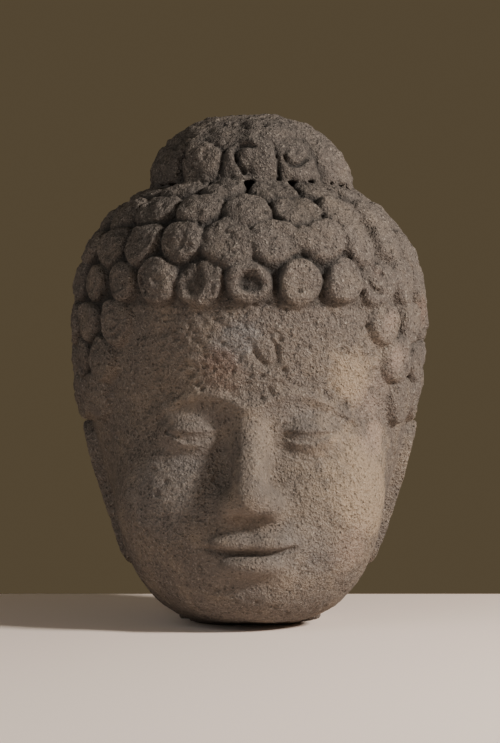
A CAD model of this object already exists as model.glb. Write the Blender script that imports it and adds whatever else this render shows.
import bpy
import math
import numpy as np
import openvdb
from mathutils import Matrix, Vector


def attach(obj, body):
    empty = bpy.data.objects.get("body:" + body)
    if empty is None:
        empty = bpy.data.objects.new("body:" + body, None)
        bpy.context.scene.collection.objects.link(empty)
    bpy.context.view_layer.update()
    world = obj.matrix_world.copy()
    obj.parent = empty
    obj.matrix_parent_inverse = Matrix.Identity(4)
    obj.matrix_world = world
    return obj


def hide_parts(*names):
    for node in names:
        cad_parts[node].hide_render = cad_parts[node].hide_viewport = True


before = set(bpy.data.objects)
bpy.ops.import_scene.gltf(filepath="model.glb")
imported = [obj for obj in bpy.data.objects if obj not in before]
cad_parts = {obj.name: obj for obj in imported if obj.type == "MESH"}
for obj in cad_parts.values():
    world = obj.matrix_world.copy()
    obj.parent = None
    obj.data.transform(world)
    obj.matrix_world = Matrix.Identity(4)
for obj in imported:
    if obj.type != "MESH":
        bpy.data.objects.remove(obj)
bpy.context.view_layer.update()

# The head is one block of dark volcanic stone, carved all round with chisels. Its skull is an egg that
# carries a cap of hair with a knot on the crown. Its form is worked out as distances to the stone's
# surface, negative inside, that are joined and cut like lumps of clay.
WIDTH, DEPTH, HEIGHT = 0.262, 0.290, 0.370
SCALP_INSET = 0.009
TINY = 0.000001


def place(x, y, z):
    return np.array((x * WIDTH, y * DEPTH, z * HEIGHT))


def ovoid(x, y, z, shape):
    """Distance to an ovoid whose upper half may be squarer and lower than its lower half."""
    above = z > shape["centre"][2]
    power = np.where(above, shape.get("power", 2), 2)
    rise = np.where(above, shape.get("up", shape["radii"][2]), shape["radii"][2])
    x = (x - shape["centre"][0]) / shape["radii"][0]
    y = (y - shape["centre"][1]) / shape["radii"][1]
    z = np.abs(z - shape["centre"][2]) / rise
    flat = np.hypot(x, y) + TINY
    level = (flat ** power + z ** power) ** (1 / power)
    side = (flat / level) ** (power - 1)
    steepness = (side * x / flat / shape["radii"][0]) ** 2 + (side * y / flat / shape["radii"][1]) ** 2
    steepness = steepness + ((z / level) ** (power - 1) / rise) ** 2
    return (level - 1) / np.sqrt(steepness)


SCALP = {
    "centre": place(0, 0.028, 0.592),
    "radii": np.array((WIDTH / 2 - SCALP_INSET, DEPTH * 0.472 - SCALP_INSET, 0.6 * HEIGHT)),
    "up": 0.265 * HEIGHT,
    "power": 2.6,
}
KNOT_BASE = 0.859 * HEIGHT
KNOT = {
    "centre": np.array((0, SCALP["centre"][1], KNOT_BASE)),
    "radii": place(0.256, 0.225, 0.06),
    "up": HEIGHT - SCALP_INSET - KNOT_BASE,
    "power": 2.1,
}
KNOT_CREASE = 0.004

# The face is carved in thirds: hairline to brow, brow to foot of the nose, foot of the nose to chin. Its
# masses swell out of the block, and the eyes are set in sockets behind lids that are almost shut.
CHIN = 0.018
HAIRLINE = 0.622
THIRD = (HAIRLINE - CHIN) / 3
NOSE_FOOT = CHIN + THIRD
BROW = CHIN + 2 * THIRD
MOUTH = NOSE_FOOT - THIRD / 3
EYE_LINE = BROW - 0.044
EYE_WIDTH = 0.148
EYE_OUT = EYE_WIDTH


def ramp(low, high, value):
    """Rises softly from 0 to 1 while a value goes from low to high."""
    along = np.clip((value - low) / (high - low), 0, 1)
    return along * along * (3 - 2 * along)


def hump(offset, spread):
    """1 in the middle and nothing a few spreads away."""
    return np.exp(-(offset / spread) ** 2)


def join(first, second, width):
    """Joins two distances with a soft crease that is `width` wide."""
    near = np.maximum(width - np.abs(first - second), 0) / width
    return np.minimum(first, second) - near * near * width / 4


def carve(first, second, width):
    """Cuts the second form out of the first with a soft edge."""
    return -join(-first, second, width)


def form(centre, radii, blend):
    return {"centre": place(*centre), "radii": place(*radii), "blend": blend}


JAW_BLEND, CHIN_BLEND, CHEEK_BLEND, LIP_BLEND = 0.030, 0.024, 0.036, 0.002
JAW = form((0, -0.128, CHIN + 0.17), (0.32, 0.24, 0.165), JAW_BLEND)
JOWL = form((0.12, -0.17, CHIN + 0.115), (0.15, 0.18, 0.1), JAW_BLEND)
CHIN_BALL = form((0, -0.29, CHIN + 0.076), (0.15, 0.105, 0.068), CHIN_BLEND)
MUZZLE = form((0, -0.292, MOUTH + 0.025), (0.165, 0.122, 0.095), CHIN_BLEND)
CHEEK = form((0.18, -0.235, NOSE_FOOT + 0.035), (0.15, 0.131, 0.11), CHEEK_BLEND)
WING = form((0.048, -0.418, NOSE_FOOT + 0.022), (0.036, 0.046, 0.026), 0.008)
NOSTRIL = form((0.03, -0.448, NOSE_FOOT - 0.006), (0.014, 0.02, 0.012), 0.003)
SOCKET = form((EYE_OUT, -0.425, EYE_LINE + 0.002), (0.118, 0.065, 0.05), 0.014)
EYEBALL = form((EYE_OUT, -0.293, EYE_LINE - 0.004), (0.094, 0.09, 0.05), 0.005)
UPPER_LIP = form((0.034, -0.402, MOUTH + 0.019), (0.082, 0.045, 0.021), LIP_BLEND)
LOWER_LIP = form((0, -0.398, MOUTH - 0.022), (0.088, 0.05, 0.026), LIP_BLEND)
NOSE = {"root": place(0, -0.366, BROW - 0.02), "tip": place(0, -0.454, NOSE_FOOT + 0.037),
        "root_radius": 0.034 * WIDTH, "tip_radius": 0.05 * WIDTH, "blend": 0.014}
LID_DEPTH = 0.0075 * DEPTH
LID_EDGE = 0.0012
UPPER_LID_DROP = 0.002
LOWER_LID_DROP = 0.021
LID_FOLD = {"depth": 0.004, "spread": 0.005, "above": 0.02}
BROW_RIDGE = {"rise": 0.006, "spread": 0.012, "arch": 0.05, "span": 0.285, "round": 0.03, "bend": 0.8}
LINE_FADES, LINE_ENDS = 0.85, 1.05
MOUTH_GROOVE = {"depth": 0.008, "spread": 0.005, "half_width": 0.122, "corner_rise": 0.011}
LIP_HOLLOW = {"depth": 0.008, "z": MOUTH - 0.06, "half_height": 0.014, "half_width": 0.06}
PHILTRUM = {"depth": 0.004, "z": MOUTH + 0.045, "half_height": 0.018, "half_width": 0.009}


def lid_arc(x):
    return np.maximum(1 - ((x - EYE_OUT * WIDTH) / (EYE_WIDTH / 2 * WIDTH)) ** 2, 0)


def upper_lid(x):
    return (EYE_LINE - UPPER_LID_DROP * lid_arc(x)) * HEIGHT


def lower_lid(x):
    return (EYE_LINE - LOWER_LID_DROP * lid_arc(x)) * HEIGHT


def face_relief(x, z):
    """Ridges and grooves that follow lines drawn on the front of the face."""
    def within(limit):
        return 1 - ramp(limit * LINE_FADES, limit * LINE_ENDS, x / WIDTH)

    def patch(hollow):
        height = hump(z / HEIGHT - hollow["z"], hollow["half_height"])
        return hollow["depth"] * height * hump(x / HEIGHT, hollow["half_width"])

    brow_along = np.clip(np.hypot(x / WIDTH, BROW_RIDGE["round"]) / BROW_RIDGE["span"], 0, 1)
    brow_line = BROW + BROW_RIDGE["arch"] * (np.sin(math.pi * brow_along ** BROW_RIDGE["bend"]) - 0.5)
    brow = BROW_RIDGE["rise"] * hump(z / HEIGHT - brow_line, BROW_RIDGE["spread"])
    brow = brow * within(BROW_RIDGE["span"])
    mouth_line = MOUTH + MOUTH_GROOVE["corner_rise"] * (x / (MOUTH_GROOVE["half_width"] * WIDTH)) ** 2
    mouth = MOUTH_GROOVE["depth"] * hump(z / HEIGHT - mouth_line, MOUTH_GROOVE["spread"])
    mouth = mouth * within(MOUTH_GROOVE["half_width"])
    fold_line = upper_lid(x) / HEIGHT + LID_FOLD["above"] * np.sqrt(lid_arc(x))
    fold = LID_FOLD["depth"] * hump(z / HEIGHT - fold_line, LID_FOLD["spread"]) * np.sign(lid_arc(x))
    return (brow - mouth - fold - patch(LIP_HOLLOW) - patch(PHILTRUM)) * HEIGHT


def nose(x, y, z):
    run = NOSE["tip"] - NOSE["root"]
    along = np.clip(((y - NOSE["root"][1]) * run[1] + (z - NOSE["root"][2]) * run[2]) / (run @ run), 0, 1)
    bridge_y = NOSE["root"][1] + along * run[1]
    bridge_z = NOSE["root"][2] + along * run[2]
    radius = NOSE["root_radius"] + (NOSE["tip_radius"] - NOSE["root_radius"]) * along
    return np.sqrt(x ** 2 + (y - bridge_y) ** 2 + (z - bridge_z) ** 2) - radius


def with_eye(distance, x, y, z):
    """Sets the ball of an eye in its socket, behind lids that are open only between their two edges."""
    hollowed = carve(distance, ovoid(x, y, z, SOCKET), SOCKET["blend"])
    ball = ovoid(x, y, z, EYEBALL)
    slit = np.maximum(z - upper_lid(x), lower_lid(x) - z)
    lids = carve(ball - LID_DEPTH, slit, LID_EDGE)
    return join(join(hollowed, lids, EYEBALL["blend"]), ball, LID_EDGE)


def with_features(distance, x, y, z):
    side = np.abs(x)
    distance = with_eye(distance, side, y, z)
    distance = join(distance, nose(x, y, z), NOSE["blend"])
    distance = join(distance, ovoid(side, y, z, WING), WING["blend"])
    distance = carve(distance, ovoid(side, y, z, NOSTRIL), NOSTRIL["blend"])
    distance = join(distance, ovoid(side, y, z, UPPER_LIP), UPPER_LIP["blend"])
    distance = join(distance, ovoid(x, y, z, LOWER_LIP), LOWER_LIP["blend"])
    return distance - face_relief(side, z)


# The ears are carved flat against the head, in low relief: an upper shell with a grooved rim and a bowl,
# and a long lobe with a slit in it.
EAR_RISE = 0.008
EAR_SIDE = 0.2
EAR_SHELL = {"y": 0.055, "z": 0.32, "half_depth": 0.08, "half_height": 0.078}
EAR_LOBE = {"top_y": 0.035, "top_z": 0.27, "foot_y": 0.012, "foot_z": 0.14, "radius": 0.045}
EAR_BOWL = {"y": 0.051, "z": 0.29, "half_depth": 0.03, "half_height": 0.042}
EAR_SLIT = {"z": 0.19, "half_depth": 0.014, "half_height": 0.05}
EAR_GROOVE = {"inset": 0.009, "spread": 0.003, "depth": 0.5, "foot_z": 0.26}
EAR_HOLLOW = {"depth": 0.85, "foot": 0.6, "rim": 1.2}
EAR_EDGE = {"outer": -0.001, "inner": 0.003}
EAR_WAIST = 0.012


def ear_outline(y, z):
    """Distance to an ear's outline, seen from the side."""
    y = y / DEPTH
    z = z / HEIGHT
    shell_y = (y - EAR_SHELL["y"]) / EAR_SHELL["half_depth"]
    shell_z = (z - EAR_SHELL["z"]) / EAR_SHELL["half_height"]
    shell = (np.hypot(shell_y, shell_z) - 1) * EAR_SHELL["half_depth"] * DEPTH
    along = np.clip((EAR_LOBE["top_z"] - z) / (EAR_LOBE["top_z"] - EAR_LOBE["foot_z"]), 0, 1)
    lobe_y = EAR_LOBE["top_y"] + (EAR_LOBE["foot_y"] - EAR_LOBE["top_y"]) * along
    below = np.maximum(EAR_LOBE["foot_z"] - z, 0) * HEIGHT
    above = np.maximum(z - EAR_LOBE["top_z"], 0) * HEIGHT
    lobe = np.sqrt(((y - lobe_y) * DEPTH) ** 2 + below ** 2 + above ** 2) - EAR_LOBE["radius"] * DEPTH
    return join(shell, lobe, EAR_WAIST)


def ear_rise(y, z):
    """How far an ear stands out of the side of the head."""
    inset = -ear_outline(y, z)
    y = y / DEPTH
    z = z / HEIGHT

    def within(hollow, middle_y):
        return np.hypot((y - middle_y) / hollow["half_depth"], (z - hollow["z"]) / hollow["half_height"])

    rise = (z - EAR_LOBE["foot_z"]) / (EAR_LOBE["top_z"] - EAR_LOBE["foot_z"])
    slit_y = EAR_LOBE["foot_y"] + (EAR_LOBE["top_y"] - EAR_LOBE["foot_y"]) * rise
    hollows = np.minimum(within(EAR_BOWL, EAR_BOWL["y"]), within(EAR_SLIT, slit_y))
    hollow = 1 - ramp(EAR_HOLLOW["foot"], EAR_HOLLOW["rim"], hollows)
    groove = hump(inset - EAR_GROOVE["inset"], EAR_GROOVE["spread"]) * EAR_GROOVE["depth"]
    rim = groove * ramp(EAR_GROOVE["foot_z"], EAR_SHELL["z"], z)
    edge = ramp(EAR_EDGE["outer"], EAR_EDGE["inner"], inset)
    return EAR_RISE * edge * (1 - np.maximum(rim, hollow * EAR_HOLLOW["depth"]))


# The neck is a stump of the same stone, broken off flat just below the chin. With the neck the bare head
# is whole, and only its curls are missing.
NECK_WIDTH, NECK_DEPTH = 0.104, 0.112
NECK = {"y": 0.07 * DEPTH, "top": 0.25 * HEIGHT, "blend": 0.014}


def neck(x, y, z):
    level = np.hypot(2 * x / NECK_WIDTH, 2 * (y - NECK["y"]) / NECK_DEPTH) - 1
    return np.maximum(level * min(NECK_WIDTH, NECK_DEPTH) / 2, z - NECK["top"])


def bare_head(x, y, z):
    """Distance to the head without its curls."""
    side = np.abs(x)
    distance = ovoid(side, y, z, SCALP)
    for mass in (JAW, JOWL, CHIN_BALL, MUZZLE, CHEEK):
        distance = join(distance, ovoid(side, y, z, mass), mass["blend"])
    distance = join(distance, neck(x, y, z), NECK["blend"])
    front = y < 0
    distance[front] = with_features(distance[front], x[front], y[front], z[front])
    beside = side > EAR_SIDE * WIDTH
    distance[beside] -= ear_rise(y[beside], z[beside])
    return join(distance, ovoid(x, y, z, KNOT), KNOT_CREASE)


# The carver worked from a rough block to the finished skin. So does this section: the stone is held as a
# grid of small cubes, first on a coarse grid, and then only those near its surface are worked on.
GRID = 0.00125
COARSE = 4
FAR = 4 * GRID
MARGIN = 0.012
WORKED_INSIDE, WORKED_OUTSIDE = 0.012, 0.017
CORNER = np.array((-WIDTH / 2 - MARGIN, -DEPTH / 2 - MARGIN, -FAR))
COUNTS = np.ceil((np.array((WIDTH / 2, DEPTH / 2, HEIGHT)) + MARGIN - CORNER) / GRID).astype(int)
LINES = [CORNER[axis] + GRID * np.arange(COUNTS[axis]) for axis in range(3)]


def rough_block():
    """The bare head on a coarse grid, spread over the fine one."""
    steps = COUNTS // COARSE + 2
    lines = [CORNER[axis] + COARSE * GRID * np.arange(steps[axis]) for axis in range(3)]
    block = bare_head(*np.meshgrid(*lines, indexing="ij")).astype(np.float32)
    for axis in range(3):
        block = np.repeat(block, COARSE, axis=axis)
    return block[:COUNTS[0], :COUNTS[1], :COUNTS[2]]


def near_surface(limit_in, limit_out):
    """Where the cubes near the surface are: their indices and their places."""
    cubes = np.nonzero((field > -limit_in) & (field < limit_out))
    return cubes, [line[index] for line, index in zip(LINES, cubes)]


field = rough_block()
cubes, places = near_surface(WORKED_INSIDE, WORKED_OUTSIDE)
field = np.clip(field, -FAR, FAR)
field[cubes] = bare_head(*places)

# The hair is a cap of snail-shell curls, flat-topped and about 35 mm across, cut side by side in staggered
# rows with narrow grooves between them. The rows run round the head, up to the knot, and over it.
CURL_RADIUS = 0.0184
CURL_HEIGHT = SCALP_INSET
CURL_SPACING = 0.033
GROOVE_WIDTH = 0.0015
CURL_RIM = 0.0045
CURL_DOME = 0.0008
CURL_CREASE = 0.0015
CURL_WEAR = 0.13
CURL_TILT = 0.11
ROW_SPACING = 0.027
FOREHEAD_ANGLE = math.radians(41)
TEMPLE_ANGLE = math.radians(66)
NAPE_ANGLE = math.radians(116)
HAIR_SWEEP = 0.6
TEMPLE_FOOT = 0.4
NAPE = 0.13
KNOT_ROW_RISE = 0.7 * CURL_RADIUS
EAR_OVERLAP = 0.6 * CURL_RADIUS
ROW_STEP = 0.0005


def hair_start(z):
    """The angle from the front at which the hair starts on each side, at a height."""
    height = z / HEIGHT
    if height > HAIRLINE + ROW_SPACING / HEIGHT / 3:
        return 0
    if height < TEMPLE_FOOT:
        return NAPE_ANGLE
    down = max((HAIRLINE - height) / (HAIRLINE - TEMPLE_FOOT), 0)
    return FOREHEAD_ANGLE + (TEMPLE_ANGLE - FOREHEAD_ANGLE) * down ** HAIR_SWEEP


def on_form(shape, angle, z):
    """A point of a form's surface at a height, in the direction of an angle from the front."""
    above = z > shape["centre"][2]
    power = shape["power"] if above else 2
    rise = shape["up"] if above else shape["radii"][2]
    reach = max(1 - (abs(z - shape["centre"][2]) / rise) ** power, 0) ** (1 / power)
    x = shape["radii"][0] * reach * math.sin(angle)
    y = shape["centre"][1] - shape["radii"][1] * reach * math.cos(angle)
    return np.array((x, y, z))


def row_heights(shape, start, end):
    """Heights of rows, one spacing apart along the side of a form."""
    heights = [start]
    step = math.copysign(ROW_STEP, end - start)
    travelled = 0
    last = on_form(shape, math.pi / 2, start)
    z = start + step
    while (end - z) * step > 0:
        following = on_form(shape, math.pi / 2, z)
        travelled += math.dist(following, last)
        last = following
        if travelled >= ROW_SPACING:
            heights.append(z)
            travelled = 0
        z += step
    return heights


def row_of_curls(shape, z, offset, name):
    """The curls of one row, from one edge of the hair round the back to the other."""
    start = hair_start(z) if shape is SCALP else 0
    sweep = 2 * math.pi - 2 * start
    gaps = max(round(sweep * on_form(shape, math.pi / 2, z)[0] / CURL_SPACING), 1)
    count = gaps + 1 if start > 0 else gaps
    first = 0 if start > 0 else offset
    curls = []
    for i in range(count):
        centre = on_form(shape, start + (i + first) / gaps * sweep, z)
        in_ear = shape is SCALP and ear_outline(centre[1], centre[2]) < EAR_OVERLAP
        if not in_ear:
            from_middle = min(i, i - count, key=abs)
            curls.append({"centre": centre, "form": shape, "row": name, "from_middle": from_middle})
    return curls


def all_curls():
    front = HAIRLINE * HEIGHT + ROW_SPACING / 2
    curls = []
    for i, z in enumerate(row_heights(SCALP, front, NAPE * HEIGHT)):
        curls += row_of_curls(SCALP, z, (i % 2) / 2, f"down {i}")
    for i, z in enumerate(row_heights(SCALP, front, KNOT_BASE)[1:]):
        curls += row_of_curls(SCALP, z, ((i + 1) % 2) / 2, f"up {i}")
    for i, z in enumerate(row_heights(KNOT, KNOT_BASE + KNOT_ROW_RISE, HEIGHT - CURL_HEIGHT)):
        curls += row_of_curls(KNOT, z, (i % 2) / 2, f"knot {i}")
    return curls


# The uses that the curls' whims are put to, each with a number of its own.
(SHIFT_ACROSS, SHIFT_UPWARD, WIDER, WORN_DOWN, LEAN_ACROSS, LEAN_UPWARD, DEEPER, WINDING_HAND,
 OVAL, THREE_SIDED, TOP_ACROSS, TOP_UPWARD, TOP_OVAL, TOP_THREE_SIDED) = range(1, 15)
WHIM = {"curl": 12.9898, "use": 78.233, "spread": 43758.5453}


def whim(index, use):
    """A number from -1 to 1 that looks random, and is the same each time for a curl and a use."""
    wave = math.sin(index * WHIM["curl"] + use * WHIM["use"]) * WHIM["spread"]
    return 2 * (wave - math.floor(wave)) - 1


NUDGE = 0.00001


def settle(index, curl):
    """Gives a curl its axes on the scalp and its worn size."""
    centre = curl["centre"]
    normal = np.array([ovoid(*(centre + step), curl["form"]) for step in NUDGE * np.eye(3)])
    normal -= ovoid(*centre, curl["form"])
    normal /= np.linalg.norm(normal)
    across = np.array((-normal[1], normal[0], 0)) / np.hypot(normal[0], normal[1])
    upward = np.cross(normal, across)
    curl["normal"] = normal
    curl["across"] = across
    curl["upward"] = upward
    lean = across * whim(index, LEAN_ACROSS) + upward * whim(index, LEAN_UPWARD)
    curl["lean"] = CURL_TILT * np.hypot(normal[0], normal[1]) * lean
    shift = across * whim(index, SHIFT_ACROSS) + upward * whim(index, SHIFT_UPWARD)
    curl["centre"] = centre + shift * CURL_WEAR * CURL_RADIUS
    curl["radius"] = CURL_RADIUS * (1 + whim(index, WIDER) * CURL_WEAR)
    curl["height"] = CURL_HEIGHT * (1 - abs(whim(index, WORN_DOWN)) * CURL_WEAR * 2)


CURLS = all_curls()
for number, curl in enumerate(CURLS):
    settle(number, curl)

# Each curl was cut as a snail shell: a groove that winds in to a button in the middle. Most are now worn
# to a faint ring. Those over the forehead and low on the knot still show a ring, crescent or deep hollow.
SPIRAL = {"pitch": 0.0062, "width": 0.26, "from": (0.1, 0.3), "to": (0.65, 0.85), "unlike": 0.9}
RING_WIDTH = 0.1
RING_SHADE = (-0.7, 0.6)
BUTTON = (0.12, 0.3)
OFF_CENTRE = 0.1
OUTLINE_WAVES = (0.05, 0.04)
TOP_WAVES = (0.10, 0.07)
WAVE_TURN = 3
PLAIN = {"spiral": 0.0005, "ring": 0, "ring_at": 0.55, "hollow": 0, "hollow_at": 0.5,
         "button": 0, "turn": 0, "fade": 0.5, "size": 1}
STYLES = {
    ("down 0", 0): {"spiral": 0, "hollow": 0.0058, "hollow_at": 0.56, "ring": 0.001, "ring_at": 0.85},
    ("down 0", 1): {"spiral": 0, "hollow": 0.0012},
    ("down 0", -1): {"spiral": 0, "ring": 0.0016, "ring_at": 0.8, "hollow": 0.0028, "turn": -2.2},
    ("down 0", -2): {"spiral": 0, "ring": 0.0024, "ring_at": 0.68, "turn": 2.6},
    ("down 0", -3): {"spiral": 0.0016},
    ("down 0", 3): {"spiral": 0, "ring": 0.004, "ring_at": 0.6, "turn": 3.1, "fade": 1},
    ("down 1", -1): {"spiral": 0.0014},
    ("down 2", -1): {"spiral": 0.0015},
    ("down 2", 0): {"spiral": 0.0013},
    ("up 0", 0): {"spiral": 0.0002, "size": 1.12},
    ("up 0", -1): {"spiral": 0.0003, "size": 1.12},
    ("up 0", 1): {"spiral": 0.0003, "size": 1.06},
    ("up 1", 0): {"size": 0.93},
    ("knot 0", 0): {"spiral": 0, "ring": 0.0042, "ring_at": 0.5, "turn": 2.9, "fade": 0.8, "hollow": 0.001},
    ("knot 0", 1): {"spiral": 0, "ring": 0.005, "ring_at": 0.5, "turn": -1.6, "fade": 0.85},
    ("knot 0", -1): {"spiral": 0.0011, "button": 0.0008},
    ("knot 0", 2): {"spiral": 0.0012},
}


def curl_style(number, curl):
    style = dict(PLAIN)
    style["spiral"] *= 1 + SPIRAL["unlike"] * whim(number, DEEPER)
    style.update(STYLES.get((curl["row"], curl["from_middle"]), {}))
    return style


def unround(number, angle, waves, oval, three_sided):
    """A factor near 1 that takes a circle out of true."""
    once = waves[0] * np.sin(2 * angle + WAVE_TURN * whim(number, oval))
    again = waves[1] * np.sin(3 * angle + WAVE_TURN * whim(number, three_sided))
    return 1 + once + again


def carved_top(number, curl, along, up):
    """How deep the carver and the weather went into the top of a curl."""
    style = curl_style(number, curl)
    along = along - whim(number, TOP_ACROSS) * OFF_CENTRE * curl["radius"]
    up = up - whim(number, TOP_UPWARD) * OFF_CENTRE * curl["radius"]
    reach = np.hypot(along, up)
    angle = np.arctan2(up, along)
    share = reach / curl["radius"] * unround(number, angle, TOP_WAVES, TOP_OVAL, TOP_THREE_SIDED)
    hand = 1 if whim(number, WINDING_HAND) > 0 else -1
    phase = reach / SPIRAL["pitch"] + hand * angle / (2 * math.pi)
    winding = hump(phase - np.round(phase), SPIRAL["width"])
    depth = style["spiral"] * winding * (1 - ramp(*SPIRAL["to"], share)) * ramp(*SPIRAL["from"], share)
    facing = 1 - style["fade"] * (1 - ramp(*RING_SHADE, np.cos(angle - style["turn"])))
    depth = depth + style["ring"] * hump(share - style["ring_at"], RING_WIDTH) * facing
    depth = depth + style["hollow"] * (1 - ramp(style["hollow_at"] / 2, style["hollow_at"], share))
    return depth - style["button"] * (1 - ramp(*BUTTON, share))


# The grooves between the curls were cut with a narrow chisel. Some are almost worn away, mostly those on
# the right and over the knot, and others are still deep. No curl stands far out beyond its neighbours.
GROOVE_FOOT = {"deep": 0.0022, "worn": 0.0072, "knot": 0.0068}
WORN_PATCHES = {"size": 0.042, "seed": 11, "from": -0.15, "to": 0.5}
WORN_KNOT = (KNOT_BASE + 0.016, KNOT_BASE + 0.032)
WORN_RIGHT = {"from": 0.06, "to": 0.11, "share": 0.8}
MOST_RISE = 0.0088
LOWER_RIGHT = {"from": 0.06, "to": 0.1, "by": 0.0022}
LEDGE = KNOT_BASE - 0.0028
CURL_REACH = 1.5
NOISE_CELLS = 64
NOISE_SKEW = (0.37, 0.29, 0.41)


def around(centre, reach):
    """The slices of the grid within reach of a point, and where their cubes lie from it."""
    low = np.maximum(np.floor((centre - reach - CORNER) / GRID).astype(int), 0)
    high = np.minimum(np.ceil((centre + reach - CORNER) / GRID).astype(int) + 1, COUNTS)
    offsets = [line[a:b] - c for line, a, b, c in zip(LINES, low, high, centre)]
    return tuple(slice(a, b) for a, b in zip(low, high)), np.meshgrid(*offsets, indexing="ij")


def lumps(x, y, z, size, seed):
    """Smooth random values from -1 to 1 over space, in lumps of a size."""
    table = np.random.default_rng(seed).uniform(-1, 1, (NOISE_CELLS,) * 3).astype(np.float32)
    skewed = (x + NOISE_SKEW[0] * y, y + NOISE_SKEW[1] * z, z + NOISE_SKEW[2] * x)
    corners = [np.floor(v / size).astype(int) for v in skewed]
    parts = [v / size - c for v, c in zip(skewed, corners)]
    parts = [p * p * (3 - 2 * p) for p in parts]
    total = np.zeros(len(x))
    for step in np.ndindex(2, 2, 2):
        share = np.ones(len(x))
        for part, upper in zip(parts, step):
            share *= part if upper else 1 - part
        i, j, k = [(c + upper) % NOISE_CELLS for c, upper in zip(corners, step)]
        total += share * table[i, j, k]
    return total


def groove_foot(shape):
    """How far the foot of the grooves stands out of the scalp, at the cubes near the surface."""
    if shape is KNOT:
        worn = ramp(*WORN_KNOT, places[2])
        return GROOVE_FOOT["deep"] + (GROOVE_FOOT["knot"] - GROOVE_FOOT["deep"]) * worn
    patches = lumps(*places, WORN_PATCHES["size"], WORN_PATCHES["seed"])
    patches = ramp(WORN_PATCHES["from"], WORN_PATCHES["to"], patches)
    right = WORN_RIGHT["share"] * ramp(WORN_RIGHT["from"], WORN_RIGHT["to"], places[0])
    return GROOVE_FOOT["deep"] + (GROOVE_FOOT["worn"] - GROOVE_FOOT["deep"]) * np.maximum(patches, right)


def curl_rise(shape):
    """How far the curls stand out of a form, near the surface. Neighbours share the room between them."""
    nearest = np.full(COUNTS, 2 * CURL_RADIUS, dtype=np.float32)
    second = nearest.copy()
    top = np.zeros(COUNTS, dtype=np.float32)
    for number, curl in enumerate(CURLS):
        if curl["form"] is not shape:
            continue
        here, offsets = around(curl["centre"], curl["radius"] * CURL_REACH)
        axes = (curl["across"], curl["upward"], curl["lean"])
        along, up, lean = [sum(offset * part for offset, part in zip(offsets, axis)) for axis in axes]
        outline = unround(number, np.arctan2(up, along), OUTLINE_WAVES, OVAL, THREE_SIDED)
        size = curl["radius"] / CURL_RADIUS * curl_style(number, curl)["size"]
        away = np.hypot(along, up) / (size * outline)
        summit = curl["height"] - CURL_DOME * (away / CURL_RADIUS) ** 2 + lean
        summit = summit - carved_top(number, curl, along, up)
        before = nearest[here]
        closer = away < before
        second[here] = np.minimum(second[here], np.where(closer, before, away))
        nearest[here] = np.minimum(before, away)
        top[here] = np.where(closer, summit, top[here])
    nearest, second, top = nearest[cubes], second[cubes], top[cubes]
    groove = np.exp((nearest - second) / 2 / GROOVE_WIDTH)
    edge = 1 - (1 - np.clip((CURL_RADIUS - nearest) / CURL_RIM, 0, 1)) ** 2
    if shape is KNOT:
        edge = 1
    right = ramp(LOWER_RIGHT["from"], LOWER_RIGHT["to"], places[0])
    top = np.minimum(top, MOST_RISE - LOWER_RIGHT["by"] * right)
    return edge * (top + (groove_foot(shape) - top) * groove + CURL_CREASE) - CURL_CREASE


hair_layer = ovoid(*places, SCALP) - curl_rise(SCALP)
knot_layer = carve(ovoid(*places, KNOT) - curl_rise(KNOT), places[2] - LEDGE, CURL_CREASE)
field[cubes] = join(join(field[cubes], hair_layer, CURL_CREASE), knot_layer, CURL_CREASE)

# Centuries of weather have worn the stone. The carver's surface is a little uneven everywhere, rougher on
# the hair than on the face, its bubbles are open as pits, and edges of the curls are chipped off.
UNEVEN = [
    {"size": 0.034, "hair": 0.0011, "skin": 0.0004},
    {"size": 0.013, "hair": 0.0010, "skin": 0.00028},
    {"size": 0.0062, "hair": 0.0011, "skin": 0.0003},
    {"size": 0.0031, "hair": 0.0009, "skin": 0.0004},
]
SMOOTHED = {"share": 0.7, "eye": (0.004, 0.016), "lips": (0.004, 0.014), "nose": (0.002, 0.014)}
HAIR_EDGE = {0.61: 0.62, 0.55: 0.56, 0.5: 0.5, 0.45: 0.45, 0.4: 0.39}
HAIR_EDGE_WIDTH = 0.003
EAR_CLEAR = 0.004
SKIN_CUBES = 2.5
PITS = {"hair": 2400, "forehead": 900, "skin": 800}
PIT_RADIUS = (0.0009, 0.0021)
PIT_SINK = (0.1, 0.6)
PIT_EDGE = 0.0006
FOREHEAD_MIDDLE = place(0, -0.4, 0.53)
FOREHEAD_REACH = 0.07
CHEEKS_FROM = 0.06
SKIN_FOOT = 0.004
OPEN_SKIN = 0.3
CHIPS = 130
CHIP_RADIUS = (0.003, 0.006)
CHIP_EDGE = 0.002
CHIP_PLACE = {"out": 0.85, "up": 0.85, "lift": 0.7}
chance = np.random.default_rng(7)


def near_features(x, y, z):
    """1 on the eyes, nose and mouth, which the carver finished smoothly, and 0 away from them."""
    side = np.abs(x)
    eye = 1 - ramp(*SMOOTHED["eye"], ovoid(side, y, z, SOCKET))
    both_lips = np.minimum(ovoid(side, y, z, UPPER_LIP), ovoid(x, y, z, LOWER_LIP))
    lips = 1 - ramp(*SMOOTHED["lips"], both_lips)
    bridge = 1 - ramp(*SMOOTHED["nose"], np.minimum(nose(x, y, z), ovoid(side, y, z, WING)))
    return np.where(y < 0, np.maximum(np.maximum(eye, lips), bridge), 0)


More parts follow.
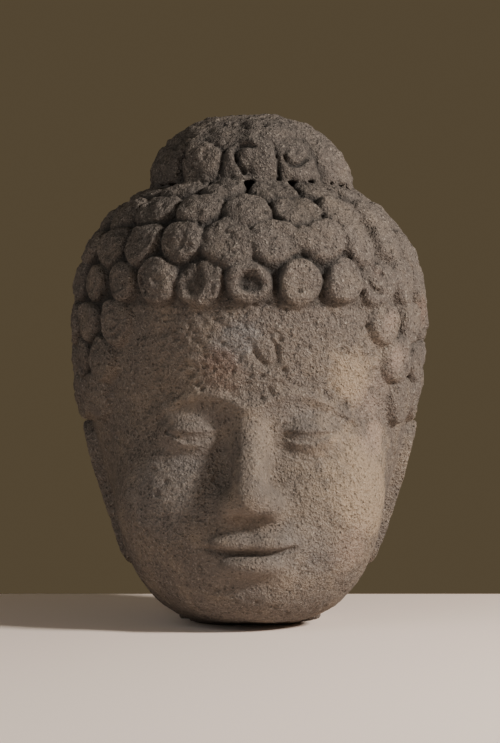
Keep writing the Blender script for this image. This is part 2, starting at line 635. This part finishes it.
def hair_share(x, y, z):
    """1 on the hair and 0 on the face, ears and neck."""
    angle = np.arctan2(np.abs(x), SCALP["centre"][1] - y)
    edge_angles = [hair_start(height * HEIGHT) for height in HAIR_EDGE]
    edge_heights = np.array((*HAIR_EDGE.values(), NAPE)) * HEIGHT
    edge_height = np.interp(angle, edge_angles + [NAPE_ANGLE], edge_heights)
    over = ramp(-HAIR_EDGE_WIDTH, HAIR_EDGE_WIDTH, z - edge_height)
    off_ear = ramp(0, EAR_CLEAR, ear_outline(y, z))
    return over * np.where(np.abs(x) > EAR_SIDE * WIDTH, off_ear, 1)


cubes, places = near_surface(SKIN_CUBES * GRID, SKIN_CUBES * GRID)
hair = hair_share(*places)
calm = 1 - SMOOTHED["share"] * near_features(*places)
for number, layer in enumerate(UNEVEN):
    rough = (layer["skin"] + (layer["hair"] - layer["skin"]) * hair) * calm
    field[cubes] += (rough * lumps(*places, layer["size"], number)).astype(np.float32)


TINY_SLOPE = 0.000000001


def slope_at(cube):
    """The direction out of the stone at a cube."""
    steps = np.eye(3, dtype=int)
    rise = np.array([field[tuple(cube + step)] - field[tuple(cube - step)] for step in steps])
    return rise / (np.linalg.norm(rise) + TINY_SLOPE)


def bite(centre, radius, edge):
    """Cuts a round hollow out of the stone."""
    here, offsets = around(centre, radius + edge)
    ball = np.sqrt(sum(o * o for o in offsets)) - radius
    field[here] = carve(field[here], ball, edge)


surface_cubes, surface_places = near_surface(GRID / 2, GRID / 2)
surface_cubes = np.stack(surface_cubes, axis=1)
surface_places = np.stack(surface_places, axis=1)
surface_hair = hair_share(*surface_places.T)
from_forehead = np.linalg.norm(surface_places - FOREHEAD_MIDDLE, axis=1)
open_skin = (surface_hair < 0.5) & (near_features(*surface_places.T) < OPEN_SKIN)
REGIONS = {
    "hair": surface_hair > 0.5,
    "forehead": open_skin & (from_forehead < FOREHEAD_REACH),
    "skin": open_skin & (from_forehead >= CHEEKS_FROM) & (surface_places[:, 2] > SKIN_FOOT),
}
for region, count in PITS.items():
    chosen = chance.choice(np.flatnonzero(REGIONS[region]), count, replace=False)
    for number in chosen:
        radius = chance.uniform(*PIT_RADIUS)
        outward = slope_at(surface_cubes[number]) * radius * chance.uniform(*PIT_SINK)
        bite(surface_places[number] + outward, radius, PIT_EDGE)

for _ in range(CHIPS):
    curl = CURLS[chance.integers(len(CURLS))]
    turn = chance.uniform(0, 2 * math.pi)
    radius = chance.uniform(*CHIP_RADIUS)
    outward = curl["across"] * math.cos(turn) + curl["upward"] * math.sin(turn)
    rim = outward * curl["radius"] * CHIP_PLACE["out"]
    lift = curl["height"] * CHIP_PLACE["up"] + radius * CHIP_PLACE["lift"]
    bite(curl["centre"] + rim + curl["normal"] * lift, radius, CHIP_EDGE)

# On the forehead a small leaf-shaped mark is left standing in a shallow groove that was cut round it. It
# is tilted, and the groove's upper end is worn away.
MARK = {"x": 0.010, "z": 0.197, "half_width": 0.0064, "half_height": 0.0115}
MARK_LEAN = math.radians(25)
MARK_GROOVE = {"depth": 0.0026, "at": 1.1, "width": 0.3, "worn_from": -1.3, "worn_to": 0.2}
MARK_SIDES = 0.25
MARK_FLAT = 0.0001
MARK_REACH = 0.03
MARK_Y = -0.42 * DEPTH


def forehead_mark(x, z):
    """How deep the groove round the mark is, at offsets from the mark's middle."""
    along = z * math.cos(MARK_LEAN) - x * math.sin(MARK_LEAN)
    aside = x * math.cos(MARK_LEAN) + z * math.sin(MARK_LEAN)
    level = np.hypot(aside / MARK["half_width"], along / MARK["half_height"])
    sides = np.abs(aside) / (MARK["half_width"] * level + MARK_FLAT)
    unworn = ramp(MARK_GROOVE["worn_from"], MARK_GROOVE["worn_to"], -along / MARK["half_height"])
    ring = hump(level - MARK_GROOVE["at"], MARK_GROOVE["width"])
    return MARK_GROOVE["depth"] * ring * (1 - MARK_SIDES + MARK_SIDES * sides) * unworn


here, offsets = around(np.array((MARK["x"], MARK_Y, MARK["z"])), MARK_REACH)
field[here] += forehead_mark(offsets[0], offsets[2])

# The neck was broken, not sawn, so the edge of its flat underside is ragged. Small hollows are bitten out
# of it all the way round.
UNDERSIDE_CHIPS = 26
UNDERSIDE_STRAY = 0.4
UNDERSIDE_RADIUS = (0.003, 0.008)
UNDERSIDE_EDGE = 0.001
field = np.maximum(field, -LINES[2][None, None, :]).astype(np.float32)
for number in range(UNDERSIDE_CHIPS):
    turn = (number + chance.uniform(-UNDERSIDE_STRAY, UNDERSIDE_STRAY)) / UNDERSIDE_CHIPS * 2 * math.pi
    radius = chance.uniform(*UNDERSIDE_RADIUS)
    rim = np.array((math.sin(turn) * NECK_WIDTH / 2, NECK["y"] - math.cos(turn) * NECK_DEPTH / 2, 0))
    bite(rim * (1 + radius), radius, UNDERSIDE_EDGE)
field = np.clip(field, -FAR, FAR)

# The finished head is one closed skin of stone. Its mesh is thinned out where the stone is even, and its
# points know whether they lie on the hair, down in a groove between curls, or on the smoother features.
MOST_TRIANGLES = 196000
ROOT_HIGH = (0.0015, 0.004)
GROOVE_HIGH = (0.0015, 0.8 * CURL_HEIGHT)
HAIR_INSET = 0.005
DIRT_BELOW = {"reach": 0.0035, "share": 0.7}
CLEAN_RIGHT = {"from": 0.055, "to": 0.085, "share": 0.75}


def skin_of(name):
    grid = openvdb.FloatGrid(FAR)
    grid.copyFromArray(field)
    points, quads = grid.convertToQuads(0.0)
    points = points * GRID + CORNER
    mesh = bpy.data.meshes.new(name)
    mesh.vertices.add(len(points))
    mesh.vertices.foreach_set("co", points.astype(np.float32).ravel())
    mesh.loops.add(quads.size)
    mesh.loops.foreach_set("vertex_index", quads.astype(np.int32)[:, ::-1].ravel())
    mesh.polygons.add(len(quads))
    mesh.polygons.foreach_set("loop_start", np.arange(0, quads.size, 4, dtype=np.int32))
    mesh.update(calc_edges=True)
    return mesh


def thinned(mesh, name):
    full = bpy.data.objects.new("full", mesh)
    bpy.context.scene.collection.objects.link(full)
    thinner = full.modifiers.new("thin out", "DECIMATE")
    thinner.ratio = min(1, MOST_TRIANGLES / (2 * len(mesh.polygons)))
    evaluated = full.evaluated_get(bpy.context.evaluated_depsgraph_get())
    light = bpy.data.meshes.new_from_object(evaluated)
    light.name = name
    bpy.data.objects.remove(full)
    return light


stone_mesh = thinned(skin_of("full"), "stone_head_carved")
stone_head = bpy.data.objects.new("stone_head_carved", stone_mesh)
bpy.context.scene.collection.objects.link(stone_head)
stone_mesh.polygons.foreach_set("use_smooth", np.ones(len(stone_mesh.polygons), dtype=bool))

points = np.empty(len(stone_mesh.vertices) * 3, dtype=np.float32)
stone_mesh.vertices.foreach_get("co", points)
x, y, z = points.reshape(-1, 3).astype(float).T
above_scalp = bare_head(x, y, z)
well_inside = hair_share(x, y, z - HAIR_INSET)
hair = hair_share(x, y, z) * np.maximum(well_inside, ramp(*ROOT_HIGH, above_scalp))
dirty = np.maximum(well_inside, hair_share(x, y, z + DIRT_BELOW["reach"]) * DIRT_BELOW["share"])
cleaner = 1 - CLEAN_RIGHT["share"] * ramp(CLEAN_RIGHT["from"], CLEAN_RIGHT["to"], x)
groove = dirty * (1 - ramp(*GROOVE_HIGH, above_scalp)) * cleaner
for name, values in {"hair": hair, "groove": groove, "calm": near_features(x, y, z)}.items():
    layer = stone_mesh.attributes.new(name, "FLOAT", "POINT")
    layer.data.foreach_set("value", values.astype(np.float32))


# The stone is a dark grey-brown lava full of fine bubbles. It is bluish where it is freshly rubbed,
# reddish where iron shows, tan and smoother where hands and light have worn it, and dark with dirt
# between the curls.
class Socket:
    """A value that a node gives out. Arithmetic with it adds Math nodes to the material."""

    def __init__(self, tree, output=None):
        self.tree = tree
        self.output = output

    def node(self, kind, settings=None, inputs=None, output=0):
        """Adds a node, sets it up, fills or links its inputs, and gives one of its outputs."""
        made = self.tree.nodes.new("ShaderNode" + kind)
        for name, setting in (settings or {}).items():
            setattr(made, name, setting)
        for name, value in (inputs or {}).items():
            if isinstance(value, Socket):
                self.tree.links.new(value.output, made.inputs[name])
            else:
                made.inputs[name].default_value = value
        return Socket(self.tree, made.outputs[output])

    def math(self, operation, first, second):
        return self.node("Math", {"operation": operation}, {0: first, 1: second})

    def __add__(self, other):
        return self.math("ADD", self, other)

    def __mul__(self, other):
        return self.math("MULTIPLY", self, other)

    def __sub__(self, other):
        return self.math("SUBTRACT", self, other)

    def __rsub__(self, other):
        return self.math("SUBTRACT", other, self)

    __radd__ = __add__
    __rmul__ = __mul__

    def beside(self, output):
        """Another output of the same node."""
        return Socket(self.tree, self.output.node.outputs[output])

    def step(self, low, high):
        """Rises softly from 0 to 1 while this value goes from low to high."""
        settings = {"interpolation_type": "SMOOTHSTEP"}
        return self.node("MapRange", settings, {"Value": self, "From Min": low, "From Max": high})


# The sockets of a Mix node that is set to colours, by their places.
MIX_SHARE, MIX_FIRST, MIX_SECOND, MIX_COLOUR = 0, 6, 7, 2
GREY_BROWN = (0.135, 0.111, 0.095, 1)
PALE_TAN = (0.300, 0.230, 0.168, 1)
WORN_PALE = (0.425, 0.315, 0.208, 1)
PINKISH = (0.290, 0.215, 0.175, 1)
DARK_HAIR = (0.094, 0.078, 0.069, 1)
BLUISH = (0.168, 0.158, 0.155, 1)
RUSTY = (0.150, 0.095, 0.073, 1)
DIRT = (0.026, 0.023, 0.021, 1)
DARK_TOP = (0.062, 0.053, 0.047, 1)
PALE_GRAIN = (0.44, 0.385, 0.325, 1)
PATCHES = [
    {"at": (-0.015, -0.080, 0.300), "reach": 0.105, "colour": DARK_TOP, "share": 0.4},
    {"at": (0.000, -0.118, 0.190), "reach": 0.050, "colour": GREY_BROWN, "share": 0.65},
    {"at": (0.108, -0.070, 0.190), "reach": 0.014, "colour": PINKISH, "share": 0.6},
    {"at": (0.100, -0.080, 0.215), "reach": 0.012, "colour": PINKISH, "share": 0.5},
    {"at": (-0.008, -0.118, 0.202), "reach": 0.022, "colour": BLUISH, "share": 0.6},
    {"at": (-0.020, -0.118, 0.182), "reach": 0.018, "colour": RUSTY, "share": 0.65},
    {"at": (0.030, -0.120, 0.150), "reach": 0.020, "colour": BLUISH, "share": 0.4},
    {"at": (0.073, -0.095, 0.176), "reach": 0.024, "colour": WORN_PALE, "share": 0.5},
    {"at": (0.094, -0.085, 0.160), "reach": 0.026, "colour": PINKISH, "share": 0.45},
    {"at": (0.080, -0.085, 0.100), "reach": 0.050, "colour": WORN_PALE, "share": 0.5},
    {"at": (0.090, -0.080, 0.135), "reach": 0.020, "colour": PINKISH, "share": 0.5},
    {"at": (0.070, -0.095, 0.060), "reach": 0.022, "colour": PINKISH, "share": 0.4},
    {"at": (0.010, -0.130, 0.040), "reach": 0.040, "colour": GREY_BROWN, "share": 0.35},
    {"at": (-0.080, -0.090, 0.190), "reach": 0.050, "colour": GREY_BROWN, "share": 0.5},
    {"at": (0.020, -0.060, 0.350), "reach": 0.060, "colour": DARK_TOP, "share": 0.4},
    {"at": (0.085, -0.075, 0.245), "reach": 0.012, "colour": RUSTY, "share": 0.6},
    {"at": (0.120, -0.020, 0.225), "reach": 0.016, "colour": RUSTY, "share": 0.5},
    {"at": (-0.060, -0.110, 0.100), "reach": 0.040, "colour": BLUISH, "share": 0.3},
    {"at": (0.040, -0.115, 0.060), "reach": 0.030, "colour": BLUISH, "share": 0.25},
]
SMOOTH_CHEEK = {"at": (0.085, -0.085, 0.115), "reach": 0.062}
PATCH_RAGGED = 1.4
PATCH_EDGE = (0.35, 1.1)
LESS_COARSE = {"cheek": 0.15, "features": 0.35, "hair": 0.35}
SKIN_COARSE = 1.25
TAN = {"mottled": 0.45, "clouded": 0.45}
HAIR_SHADE = {"most": 0.75, "mottled": 0.5}
SPECKS = {"pale_grain": 0.5, "pale_grit": 0.4, "dark_grain": 0.4, "dark_grit": 0.4}
BUBBLE = {"scale": 380, "bend": 0.0022, "size": 0.3, "dirt": 0.3, "depth": 0.5}
GROOVE_DIRT = {"least": 0.45, "mottled": 0.8}
RELIEF = {"grain": 0.6, "grit": 1.2, "waves": 0.8}
RELIEF_DEPTH = 0.0028
ROUGHNESS = {"most": 0.98, "grain": 0.16}
SHEEN = 0.25

stone = bpy.data.materials.new("volcanic_stone")
stone.use_nodes = True
surface = Socket(stone.node_tree)
at = surface.node("TexCoord", output="Object")
hair_mask = surface.node("Attribute", {"attribute_name": "hair"}, output="Fac")
groove_mask = surface.node("Attribute", {"attribute_name": "groove"}, output="Fac")
calm_mask = surface.node("Attribute", {"attribute_name": "calm"}, output="Fac")


def noise(scale, detail, roughness=0.5):
    inputs = {"Vector": at, "Scale": scale, "Detail": detail, "Roughness": roughness}
    return surface.node("TexNoise", None, inputs)


def blend(first, second, share):
    inputs = {MIX_SHARE: share, MIX_FIRST: first, MIX_SECOND: second}
    return surface.node("Mix", {"data_type": "RGBA"}, inputs, output=MIX_COLOUR)


def patch(place_of, reach, ragged):
    """A soft ragged spot on the stone round a place."""
    away = surface.node("VectorMath", {"operation": "DISTANCE"}, {0: at, 1: place_of}, output="Value")
    return 1 - (away * (1 / reach) + (ragged - 0.5) * PATCH_RAGGED).step(*PATCH_EDGE)


cloud = noise(scale=11, detail=4, roughness=0.6)
mottle = noise(scale=48, detail=5, roughness=0.65)
grain = noise(scale=700, detail=2, roughness=0.55)
grit = noise(scale=310, detail=3, roughness=0.6)
ragged = noise(scale=70, detail=4, roughness=0.6)
waves = noise(scale=130, detail=3, roughness=0.6)
smooth = patch(SMOOTH_CHEEK["at"], SMOOTH_CHEEK["reach"], ragged)
coarse = (1 - smooth * LESS_COARSE["cheek"]) * (1 - calm_mask * LESS_COARSE["features"])

tone = blend(GREY_BROWN, PALE_TAN, mottle.step(0.42, 0.78) * TAN["mottled"])
tone = blend(tone, PALE_TAN, cloud.step(0.5, 0.75) * TAN["clouded"])
tone = blend(tone, DARK_HAIR, hair_mask * (HAIR_SHADE["most"] - mottle * HAIR_SHADE["mottled"]))
for spot in PATCHES:
    tone = blend(tone, spot["colour"], patch(spot["at"], spot["reach"], ragged) * spot["share"])

# Open bubbles: only some cells of the pattern hold one, each of its own size, and none is quite round.
swirl = noise(scale=500, detail=2).beside("Color")
bent = surface.node("VectorMath", {"operation": "SCALE"}, {0: swirl, "Scale": BUBBLE["bend"]})
bent_at = surface.node("VectorMath", {"operation": "ADD"}, {0: at, 1: bent})
cell = surface.node("TexVoronoi", None, {"Vector": bent_at, "Scale": BUBBLE["scale"]}, output="Distance")
lot = surface.node("SeparateColor", None, {"Color": cell.beside("Color")}, output=0)
size = lot.step(0.35, 1) * BUBBLE["size"]
open_bubble = (1 - (cell - size).step(-0.08, 0.12)) * lot.step(0.35, 0.5)

pale_specks = grain.step(0.55, 0.78) * SPECKS["pale_grain"] + grit.step(0.58, 0.8) * SPECKS["pale_grit"]
dark_grain = (1 - grain.step(0.26, 0.48)) * SPECKS["dark_grain"]
dark_grit = (1 - grit.step(0.28, 0.47)) * SPECKS["dark_grit"]
tone = blend(tone, PALE_GRAIN, pale_specks * coarse)
tone = blend(tone, DIRT, (dark_grain + dark_grit) * coarse)
tone = blend(tone, DIRT, open_bubble * BUBBLE["dirt"])
tone = blend(tone, DIRT, groove_mask * (GROOVE_DIRT["least"] + mottle * GROOVE_DIRT["mottled"]))

shader = stone.node_tree.nodes["Principled BSDF"]
shader.inputs["Specular IOR Level"].default_value = SHEEN
stone.node_tree.links.new(tone.output, shader.inputs["Base Color"])
roughness = ROUGHNESS["most"] - grain * ROUGHNESS["grain"]
stone.node_tree.links.new(roughness.output, shader.inputs["Roughness"])
rougher = SKIN_COARSE - hair_mask * LESS_COARSE["hair"]
relief = grain * RELIEF["grain"] + grit * RELIEF["grit"] + waves * RELIEF["waves"]
relief = relief * coarse * rougher - open_bubble * BUBBLE["depth"]
bump_inputs = {"Strength": 1, "Distance": RELIEF_DEPTH, "Height": relief}
rough_normal = surface.node("Bump", None, bump_inputs, output="Normal")
stone.node_tree.links.new(rough_normal.output, shader.inputs["Normal"])
stone_mesh.materials.append(stone)

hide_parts("stone_head")
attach(stone_head, "root")

# The head stands on a plain pale floor, painted matt, that ends a little behind it. Only the dim air of the
# studio is seen past the floor's edge.
FLOOR_REACH = 4
FLOOR_BEHIND = 0.22
FLOOR_PAINT = {"Base Color": (0.97, 0.82, 0.73, 1), "Roughness": 0.8}
floor_mesh = bpy.data.meshes.new("floor")
floor_corners = [(-FLOOR_REACH, -FLOOR_REACH, 0), (FLOOR_REACH, -FLOOR_REACH, 0),
                 (FLOOR_REACH, FLOOR_BEHIND, 0), (-FLOOR_REACH, FLOOR_BEHIND, 0)]
floor_mesh.from_pydata(floor_corners, [], [(0, 1, 2, 3)])
floor = bpy.data.objects.new("floor", floor_mesh)
bpy.context.scene.collection.objects.link(floor)
pale = bpy.data.materials.new("pale_floor")
pale.use_nodes = True
for name, value in FLOOR_PAINT.items():
    pale.node_tree.nodes["Principled BSDF"].inputs[name].default_value = value
floor_mesh.materials.append(pale)

# A soft square lamp on the right, a little in front and above, models the carving. A large dim one on the
# left keeps the shadows open, and the studio's own light is dim and warm.
LIT_POINT = Vector((0, 0, 0.2))
STUDIO_COLOUR = (0.128, 0.096, 0.054, 1)
STUDIO_STRENGTH = 0.75


def lamp(name, location, size, power, colour):
    light = bpy.data.lights.new(name, "AREA")
    light.size = size
    light.energy = power
    light.color = colour
    holder = bpy.data.objects.new(name, light)
    holder.location = location
    holder.rotation_euler = (LIT_POINT - holder.location).to_track_quat("-Z", "Y").to_euler()
    bpy.context.scene.collection.objects.link(holder)


lamp("key", location=(1.33, -0.80, 0.92), size=0.26, power=50, colour=(1, 0.95, 0.88))
lamp("fill", location=(-1.2, -1.5, 0.8), size=1.5, power=10, colour=(0.86, 0.95, 1))
studio = bpy.data.worlds.new("studio")
studio.use_nodes = True
studio.node_tree.nodes["Background"].inputs["Color"].default_value = STUDIO_COLOUR
studio.node_tree.nodes["Background"].inputs["Strength"].default_value = STUDIO_STRENGTH
bpy.context.scene.world = studio

# The camera stands level with the middle of the head, about two metres in front of it. Its lens is long,
# so that the head is seen without distortion.
CAMERA_DISTANCE = 1.9
CAMERA_HEIGHT = 0.181
VIEW_HEIGHT = 0.542
SENSOR = 36
camera_data = bpy.data.cameras.new("camera")
camera_data.sensor_width = SENSOR
camera_data.lens = SENSOR * CAMERA_DISTANCE / VIEW_HEIGHT
camera = bpy.data.objects.new("camera", camera_data)
camera.location = (0, -CAMERA_DISTANCE, CAMERA_HEIGHT)
camera.rotation_euler = (math.radians(90), 0, 0)
bpy.context.scene.collection.objects.link(camera)
bpy.context.scene.camera = camera
